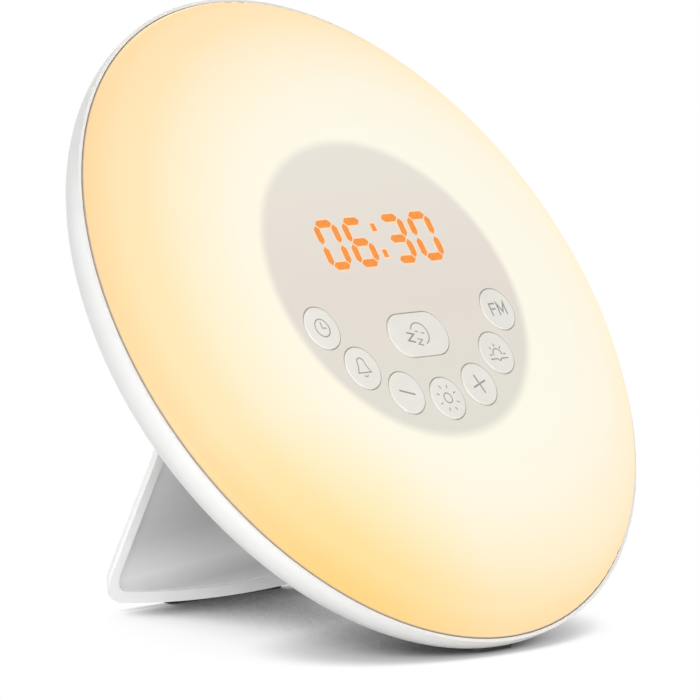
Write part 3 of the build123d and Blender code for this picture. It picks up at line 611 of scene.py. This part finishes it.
def board(name, colours):
    """Solder mask over glass cloth, with the cloth's weave in relief."""
    material, tree, surface, places = start_material(name, {"IOR": 1.55})
    on_board = add(
        tree,
        "Mapping",
        {"vector_type": "TEXTURE", "Rotation": face.to_euler()},
        {"Vector": places.outputs["Object"]},
    )
    place = {"Vector": on_board.outputs["Vector"]}
    thread = {"Scale": per_mm(thread_pitch) / (2 * pi), "Distortion": 0.4}
    warp = add(tree, "TexWave", {**thread, "bands_direction": "X"}, place)
    weft = add(tree, "TexWave", {**thread, "bands_direction": "Y"}, place)
    weave = add(
        tree, "Math", {"operation": "MULTIPLY"}, {0: warp.outputs["Fac"], 1: weft.outputs["Fac"]}
    ).outputs["Value"]
    tint = add(tree, "ValToRGB", {"stops": list(zip((0, 1), colours))}, {"Fac": weave})
    gloss = add(tree, "MapRange", {"To Min": board_rough[0], "To Max": board_rough[1]}, {"Value": weave})
    bump = add(tree, "Bump", {"Distance": weave_relief * mm}, {"Height": weave})
    join(
        tree,
        surface,
        {
            "Base Color": tint.outputs["Color"],
            "Roughness": gloss.outputs["Result"],
            "Normal": bump.outputs["Normal"],
        },
    )
    return material


finishes["green_board"] = board("green solder mask", ("#0E5A34", "#147044"))
finishes["white_board"] = board("white solder mask", ("#E2E2DE", "#EEEEEA"))
print("made", finishes["green_board"].name, "and", finishes["white_board"].name)

# %% [markdown]
# ## Metals and paper
# Screws, hinge pin, speaker frame and socket shell are zinc-plated steel, drawn or rolled, which leaves
# fine lines one way: the grain is stretched along them. The coin cell has a nickel-plated can, the
# contacts are spring brass. A metal keeps the shader's own IOR, because its colour sets its gloss. The
# speaker cone is pressed paper, dull, with fibres a millimetre or so long.

# %% Metals and paper
metals = {                        # name, two colours, patch, grain and relief in mm, roughness, stretch
    "plated_steel": (
        "zinc-plated steel", ("#C9CBCD", "#B9BBBD"), 6, 0.5, 0.004, (0.22, 0.4), (1, 8, 8)
    ),
    "cell_steel": (
        "nickel-plated steel", ("#D3D0CA", "#C5C2BB"), 8, 0.4, 0.003, (0.18, 0.3), (1, 6, 6)
    ),
    "contact_brass": ("spring brass", ("#D8B86A", "#C8A658"), 4, 0.4, 0.003, (0.2, 0.35), (1, 8, 8)),
}
for slot, looks in metals.items():
    finishes[slot] = finish(*looks, Metallic=1)
finishes["paper_cone"] = finish(
    "pressed paper",
    ("#3A3836", "#2C2A29"),
    patch=3,
    grain=0.9,
    relief=0.03,
    rough=(0.75, 0.95),
    stretch=(1, 3, 3),
    IOR=1.5,
)
print("made", len(finishes), "finishes so far")

# %% [markdown]
# ## Lit bars
# The digits are bars of amber LED light. Behind the milky panel they show as clear orange shapes, each
# with a pale fringe where the light spreads in the plastic. As in the dome, the light is a glow of the
# surface and not a lamp behind it. The bars themselves, inside, get the same amber as the shapes on the
# panel, so both come from one finish; the fringe is a paler one.

# %% Amber light and its fringe
light_patch = 1.5
light_shares = (0.35, 0.65)       # of the noise's range, as for the usual finish


def lit(name, colours):
    """Light that shows through plastic: part from the surface and the rest from its own glow."""
    material, tree, surface, places = start_material(
        name, {"IOR": 1.49, "Specular IOR Level": 0.2, "Emission Strength": glow_share}
    )
    place = {"Vector": places.outputs["Object"]}
    cloud = add(tree, "TexNoise", {"Scale": per_mm(light_patch), "Detail": 2}, place).outputs["Fac"]
    tint = add(tree, "ValToRGB", {"stops": list(zip(light_shares, colours))}, {"Fac": cloud})
    rest = {"operation": "SCALE", "Scale": 1 - glow_share}
    own = add(tree, "VectorMath", rest, {0: tint.outputs["Color"]})
    gloss = add(tree, "MapRange", {"To Min": satin_rough[0], "To Max": satin_rough[1]}, {"Value": cloud})
    join(
        tree,
        surface,
        {
            "Base Color": own.outputs["Vector"],
            "Emission Color": tint.outputs["Color"],
            "Roughness": gloss.outputs["Result"],
        },
    )
    return material


finishes["amber_bar"] = lit("amber light through acrylic", ("#F99A46", "#F4923C"))
fringe = lit("fringe of amber light", ("#FBE0C6", "#F8DABD"))
print("made", finishes["amber_bar"].name, "and", fringe.name)

# %% [markdown]
# ## Put the finishes on the solids
# The record says which material slot each solid belongs to, so one loop gives every solid its finish.
# The stand alone gets the version with the lacquered dish.

# %% Assign
for row in frame["record"]["subparts"]:
    solid = nodes[row["node"]]
    solid.data.materials.clear()
    solid.data.materials.append(stand_abs if row["node"] == "stand" else finishes[row["material_slot"]])

# %% [markdown]
# ## Thin inlays
# The lit digits and the printed signs are thin, flat and sharp-edged. They are drawn as flat faces in
# millimetres on the front of the piece that carries them, thickened by a few hundredths of a
# millimetre so that they are closed shapes, and then set on that front, sunk by half of their
# thickness. A texture could paint them too, but faces stay sharp at any distance.

# %% Inlay helper
inlay_thickness = 0.05
weld_reach = 0.001                # corners nearer than this are one


def inlay(name, outlines, place, body, materials):
    """One flat piece from (points, material index) outlines on a front, riding on a body."""
    mesh = bmesh.new()
    for points, index in outlines:
        corners = [mesh.verts.new((x, y, 0)) for x, y in points]
        mesh.faces.new(corners).material_index = index
    bmesh.ops.remove_doubles(mesh, verts=mesh.verts, dist=weld_reach)
    bmesh.ops.recalc_face_normals(mesh, faces=mesh.faces)
    for side in mesh.faces:
        if side.normal.z < 0:
            side.normal_flip()
    bmesh.ops.solidify(mesh, geom=mesh.faces[:], thickness=inlay_thickness)
    lowest = min(vertex.co.z for vertex in mesh.verts)
    bmesh.ops.translate(mesh, vec=(0, 0, -lowest - inlay_thickness / 2), verts=mesh.verts)
    bmesh.ops.transform(mesh, matrix=place, verts=mesh.verts)
    data = bpy.data.meshes.new(name)
    mesh.to_mesh(data)
    mesh.free()
    piece = bpy.data.objects.new(name, data)
    for material in materials:
        data.materials.append(material)
    scene_objects.link(piece)
    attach(piece, body)
    return piece


print("inlays are", inlay_thickness, "mm thick")

# %% [markdown]
# ## The time
# A font could set the time, but its digits wouldn't be made of bars that light one by one. A seven-bar
# digit is a skeleton of seven lines between six corners. Each lit bar is a hexagon along its line,
# pointed just short of both corners. The fringe is a wider hexagon that reaches the corners, so that the
# fringes of two neighbouring bars meet along a diagonal without overlapping.

# %% Skeleton of a digit
display = front_of("display_bars")
lowest, highest = reach("display_bars", up)
digit_span = (highest - lowest) / mm
stroke = 2.0                      # width of the lit bars
digit_across = 6.2                # width of the skeleton
digit_along = (digit_span - stroke) / 2

corners = {
    f"{row} {column}": (way * digit_across / 2, rise_way * digit_along)
    for row, rise_way in (("top", 1), ("middle", 0), ("bottom", -1))
    for column, way in (("left", -1), ("right", 1))
}
bars = {
    "top": ("top left", "top right"),
    "upper right": ("top right", "middle right"),
    "lower right": ("middle right", "bottom right"),
    "bottom": ("bottom left", "bottom right"),
    "lower left": ("middle left", "bottom left"),
    "upper left": ("top left", "middle left"),
    "middle": ("middle left", "middle right"),
}
unlit = {"0": ("middle",), "3": ("upper left", "lower left"), "6": ("upper right",)}
print(len(bars), "bars between", len(corners), "corners,", round(digit_span, 1), "mm high")

# %% Outlines of the lit shapes
def hexagon(start, end, half, inset):
    """A pointed bar between two points: half is half its width, inset how far each end stops short."""
    along = (end - start).normalized()
    side = Vector((-along.y, along.x)) * half
    first, last = start + along * inset, end - along * inset
    shoulder = along * half
    return [
        first,
        first + shoulder - side,
        last - shoulder - side,
        last,
        last - shoulder + side,
        first + shoulder + side,
    ]


def box(width, height, middle):
    """The four corners of a box about a middle."""
    ways = ((-1, -1), (1, -1), (1, 1), (-1, 1))
    return [Vector((middle[0] + a * width / 2, middle[1] + b * height / 2)) for a, b in ways]


def lit_shape(core, around):
    """A lit outline and the quads of its fringe, as inlay outlines; both have as many corners."""
    pairs = [(index, (index + 1) % len(core)) for index in range(len(core))]
    return [(core, 0)] + [([around[a], around[b], core[b], core[a]], 1) for a, b in pairs]


print("a bar has", len(hexagon(Vector((0, 0)), Vector((digit_across, 0)), stroke / 2, 0)), "corners")

# %% Digits and colon
time_shown = "0630"
fringe_width = 0.45
bar_end = 0.25                    # from a corner of the skeleton to a bar's point
digit_pitch = 10                  # between the digits of the hour, and of the minutes
colon_pitch = 13.7                # between the digits beside the colon
colon_rise = 3.5                  # from the middle to a dot
colon_size = (1.6, 2.0)

to_panel_front = out * (face.translation - display.translation).dot(out)
on_panel_front = Matrix.Translation(to_panel_front) @ display
light = [finishes["amber_bar"], fringe]
pair_offset = (digit_pitch + colon_pitch) / 2
digit_middles = [side * pair_offset + inner * digit_pitch / 2 for side in (-1, 1) for inner in (-1, 1)]
for index, (digit, middle) in enumerate(zip(time_shown, digit_middles)):
    shapes = []
    for bar, bar_corners in bars.items():
        if bar not in unlit[digit]:
            ends = [Vector(corners[corner]) + Vector((middle, 0)) for corner in bar_corners]
            core = hexagon(*ends, stroke / 2, bar_end)
            shapes += lit_shape(core, hexagon(*ends, stroke / 2 + fringe_width, 0))
    inlay(f"lit_digit_{index + 1}", shapes, on_panel_front, "case", light)
dots = []
for rise_way in (-1, 1):
    dot_middle = (0, rise_way * colon_rise)
    wide = [side + 2 * fringe_width for side in colon_size]
    dots += lit_shape(box(*colon_size, dot_middle), box(*wide, dot_middle))
inlay("lit_colon", dots, on_panel_front, "case", light)
print("time set in", len(digit_middles), "digits")

# %% [markdown]
# ## Signs on the buttons
# Each cap has a fine grey line sign, pad-printed: clock, bell, minus, light, plus, sunrise, radio band
# and sleep. A sign is drawn as pen strokes, lists of points in millimetres from the cap's middle, and a
# function gives each stroke its width with mitred corners and round ends. That takes a few points for
# each sign, and one line width for most.

# %% Strokes
thin = 0.31
bold = 0.46
round_steps = 6
ring_steps = 36


def arc(middle, radius, first, last, steps):
    """Points along a circle, angles in degrees."""
    turns = [radians(first + (last - first) * step / steps) for step in range(steps + 1)]
    return [(middle[0] + radius * cos(turn), middle[1] + radius * sin(turn)) for turn in turns]


def circle(radius):
    """Points round a whole circle, the first not repeated."""
    return arc((0, 0), radius, 0, 360 - 360 / ring_steps, ring_steps - 1)


def stroke_of(points, width=thin, closed=False):
    """Outlines of a pen stroke through points: quads along it, and a round end at each open end."""
    spots = [Vector(point) for point in points]
    count = len(spots)
    sides = []
    for index, spot in enumerate(spots):
        before = spots[index - 1] if index or closed else None
        after = spots[(index + 1) % count] if index < count - 1 or closed else None
        ways = [(b - a).normalized() for a, b in ((before, spot), (spot, after)) if a and b]
        way = sum(ways, Vector((0, 0))).normalized()
        side = Vector((-way.y, way.x))
        sides.append(side * width / 2 / side.dot(Vector((-ways[0].y, ways[0].x))))
    left = [spot + side for spot, side in zip(spots, sides)]
    far = [spot - side for spot, side in zip(spots, sides)]
    pairs = [(index, (index + 1) % count) for index in range(count if closed else count - 1)]
    outlines = [[far[a], far[b], left[b], left[a]] for a, b in pairs]
    if not closed:
        for spot, start, stop in ((spots[-1], far[-1], left[-1]), (spots[0], left[0], far[0])):
            spoke = start - spot
            fan = [Matrix.Rotation(pi * step / round_steps, 2) @ spoke for step in range(1, round_steps)]
            outlines.append([start, *[spot + point for point in fan], stop])
    return [(outline, 0) for outline in outlines]


def turned(points, angle, shift=(0, 0)):
    """Points turned about the cap's middle, in degrees, then shifted."""
    spots = [Matrix.Rotation(radians(angle), 2) @ Vector(point) for point in points]
    return [(spot.x + shift[0], spot.y + shift[1]) for spot in spots]


print("line widths", thin, "and", bold, "mm")

# %% [markdown]
# Clock: a ring and two hands. Bell: an outline with a flared mouth, and a clapper under it. Minus and
# plus follow the arc of the buttons, so they are turned a little. Light: a small ring with eight rays.

# %% Clock, bell, minus, light and plus
clock_radius = 2.3
hands = [(0, 1.4), (0, 0), (1.25, -0.15)]
signs = {"clock": stroke_of(circle(clock_radius), closed=True) + stroke_of(hands)}

bell_side = [(1.2, 1.5), (1.4, 0.5), (1.9, -0.6), (2.2, -1.2)]
bell_top = arc((0, 1.4), radius=1.2, first=175, last=5, steps=12)
bell = [(-x, y) for x, y in reversed(bell_side)] + bell_top[1:-1] + bell_side
clapper = arc((0, -1.7), radius=0.6, first=200, last=340, steps=8)
signs["alarm"] = stroke_of(bell, closed=True) + stroke_of(clapper)

bar_reach = 2.4
bar_turn = 17
ink_gap = 0.02                    # between two strokes that meet, so that their faces don't overlap
signs["minus"] = stroke_of(turned([(-bar_reach, 0), (bar_reach, 0)], -bar_turn), bold)
signs["plus"] = stroke_of(turned([(0, -bar_reach), (0, bar_reach)], bar_turn), bold)
for way in (-1, 1):
    half_bar = [(way * bar_reach, 0), (way * (bold + ink_gap), 0)]
    signs["plus"] += stroke_of(turned(half_bar, bar_turn), bold)

lamp_radius = 1.3
lamp_rays = 8
lamp_ray = [(2.8, 0), (3.5, 0)]
signs["light"] = stroke_of(circle(lamp_radius), closed=True)
for ray in range(lamp_rays):
    signs["light"] += stroke_of(turned(lamp_ray, (ray + 0.5) * 360 / lamp_rays))
print("drawn", *signs)

# %% [markdown]
# Sunrise: half a sun with short rays over a horizon that dips in the middle. Radio: the band's two
# letters, which are as generic as the numbers on a dial. Sleep: a round head, open where two letters z
# stand in front of it, with two closed eyes.

# %% Sunrise, radio and sleep
sun = (0, -0.5)
sun_rays = 5
sun_ray = [(2.15, 0), (2.75, 0)]
horizon = [(-3, -1.6), (-0.8, -1.6), (0, -2.2), (0.8, -1.6), (3, -1.6)]
signs["sunrise"] = stroke_of(arc(sun, radius=1.5, first=0, last=180, steps=18))
for ray in range(sun_rays):
    signs["sunrise"] += stroke_of(turned(sun_ray, ray * 180 / (sun_rays - 1), sun))
signs["sunrise"] += stroke_of(horizon)

tall = 1.5                        # half of the letters' height
stem = -2.55                      # place of the first letter's upright
letter = 0.42                     # line width of the letters
arms = ((tall, -0.65), (0.1, -0.95))  # level and end of the first letter's arms
signs["radio"] = stroke_of([(stem, -tall), (stem, tall)], letter)
for arm_level, arm_end in arms:
    signs["radio"] += stroke_of([(stem + letter + ink_gap, arm_level), (arm_end, arm_level)], letter)
second_letter = [(0.2, -tall), (0.2, tall), (1.45, -0.8), (2.7, tall), (2.7, -tall)]
signs["radio"] += stroke_of(second_letter, letter)

tilt = -15
head = (0.55, 0.1)
eye_places = (-1.05, 0.95)
eye_reach = 0.4                   # from the middle of a closed eye to its end
eye_rise = 0.35
signs["snooze"] = stroke_of(arc(head, radius=2.85, first=152, last=-70, steps=30))
for eye in eye_places:
    lid = [(eye - eye_reach, eye_rise), (eye + eye_reach, eye_rise)]
    signs["snooze"] += stroke_of(turned(lid, tilt, head))
zed = [(-1, 1), (1, 1), (-1, -1), (1, -1)]
zeds = (((-3.1, -0.65), 1.05, bold), ((-0.5, -2.05), 0.72, thin))  # middle, half size, line width
for zed_middle, half_size, width in zeds:
    sized = [(x * half_size, y * half_size) for x, y in zed]
    signs["snooze"] += stroke_of(turned(sized, tilt, zed_middle), width)
print("drawn", *signs)

# %% [markdown]
# The ink is a matt grey, pressed on by a soft pad. It is thin, so the white of the cap shows in it as
# small patches.

# %% Print the signs
ink = finish(
    "pad-printed ink",
    ("#A3A29D", "#969590"),
    patch=0.6,
    grain=0.15,
    relief=0.003,
    rough=(0.6, 0.75),
    IOR=1.5,
)
for name, outlines in signs.items():
    cap = f"{name}_button"
    inlay(f"{name}_sign", outlines, front_of(cap), cap, [ink])
print("printed", len(signs), "signs")

# %% [markdown]
# ## Studio
# The clock stands on a white table in front of white. Enough light to show a real table as pure white
# would wash out the white case. So the table shows plain white where it is open to the sky, and grey
# only where the clock hides the sky. The camera and mirrors see just that: one ramp on how much of the
# sky is open within a hand's width gives the wide soft shadow, a second one within two fingers' width
# the dark line at the feet. All other light meets a plain white laminate, so the white of the picture
# puts no light on the clock.

# %% Table
table_size = 6
table_patch = 40
laminate_colours = ("#EFEFEF", "#EDEDEE")
sky_samples = 32
wide_reach, close_reach = 0.1, 0.03  # metres within which something can hide the sky
wide_stops = (
    (0.05, "#4C4C4C"),
    (0.085, "#7A7A7A"),
    (0.11, "#A0A0A0"),
    (0.15, "#CDCDCD"),
    (0.21, "#EBEBEB"),
    (0.36, "#FAFAFA"),
    (0.56, "#FFFFFF"),
)
close_stops = ((0.1, "#B8B8B8"), (0.3, "#C6C6C6"), (0.4, "#D4D4D4"), (0.6, "#FFFFFF"))


def seen_ray(tree):
    """1 where the camera, a mirror or glass looks, and 0 for all other light."""
    rays = add(tree, "LightPath", {}).outputs
    most = {"operation": "MAXIMUM"}
    direct = add(tree, "Math", most, {0: rays["Is Camera Ray"], 1: rays["Is Glossy Ray"]})
    return add(tree, "Math", most, {0: direct.outputs[0], 1: rays["Is Transmission Ray"]}).outputs[0]


data = bpy.data.meshes.new("table")
data.from_pydata([(*corner, 0) for corner in box(table_size, table_size, (0, 0))], [], [(0, 1, 2, 3)])
table = bpy.data.objects.new("table", data)
scene_objects.link(table)

top, tree, laminate, places = start_material("white laminate", {"Roughness": 0.5})
place = {"Vector": places.outputs["Object"]}
cloud = add(tree, "TexNoise", {"Scale": per_mm(table_patch)}, place)
laminate_stops = list(zip(patch_shares, laminate_colours))
tint = add(tree, "ValToRGB", {"stops": laminate_stops}, {"Fac": cloud.outputs["Fac"]})
join(tree, laminate, {"Base Color": tint.outputs["Color"]})
shades = []
for sky_reach, stops in ((wide_reach, wide_stops), (close_reach, close_stops)):
    sky = add(tree, "AmbientOcclusion", {"Distance": sky_reach, "samples": sky_samples})
    shades.append(add(tree, "ValToRGB", {"stops": stops}, {"Fac": sky.outputs["AO"]}).outputs["Color"])
shade = add(tree, "VectorMath", {"operation": "MULTIPLY"}, {0: shades[0], 1: shades[1]})
white = add(tree, "Emission", {"Strength": 1}, {"Color": shade.outputs["Vector"]})
mixed = add(tree, "MixShader", {}, {0: seen_ray(tree), 1: laminate.outputs[0], 2: white.outputs[0]})
join(tree, tree.nodes["Material Output"], {"Surface": mixed.outputs[0]})
data.materials.append(top)
print("table", table_size, "m across")

# %% [markdown]
# The world is white to the camera and in reflections, and a soft even light for everything else. Small
# lamps would leave hard shadows, so all four are large soft boxes. The widest, the key, stands low in
# front, to the left, and lights the face, the case's side and the stand. Two weaker ones behind the
# clock, one low and one high, light the back of the case, and a weak one overhead lights the top edge.
# Their power is set so that a colour shows about as it is written.

# %% World and lamps
ambient = 0.32
lamps = {                         # place and size in metres, power in watts
    "key": (Vector((-1.05, -1.05, 0.22)), (1.7, 0.5), 22.0),
    "back": (Vector((-0.65, 1.3, 0.1)), (0.9, 0.9), 5.5),
    "rear": (Vector((0.8, 1.2, 1.0)), (0.9, 0.9), 7.0),
    "overhead": (Vector((0.1, -0.3, 1.5)), (1.0, 1.0), 2.0),
}

world = bpy.data.worlds.new("studio")
bpy.context.scene.world = world
world.use_nodes = True
tree = world.node_tree
sky = tree.nodes["Background"]
sky.inputs["Color"].default_value = linear("#FFFFFF")
strength = add(tree, "MapRange", {"To Min": ambient, "To Max": 1}, {"Value": seen_ray(tree)})
join(tree, sky, {"Strength": strength.outputs["Result"]})

for name, (spot, size, power) in lamps.items():
    data = bpy.data.lights.new(name, "AREA")
    data.shape = "RECTANGLE"
    data.size, data.size_y = size
    data.energy = power
    lamp = bpy.data.objects.new(name, data)
    lamp.location = spot
    lamp.rotation_euler = (view_aim - spot).to_track_quat("-Z", "Y").to_euler()
    scene_objects.link(lamp)
bpy.context.scene.view_settings.view_transform = "Standard"
print("lamps", {name: power for name, (spot, size, power) in lamps.items()})
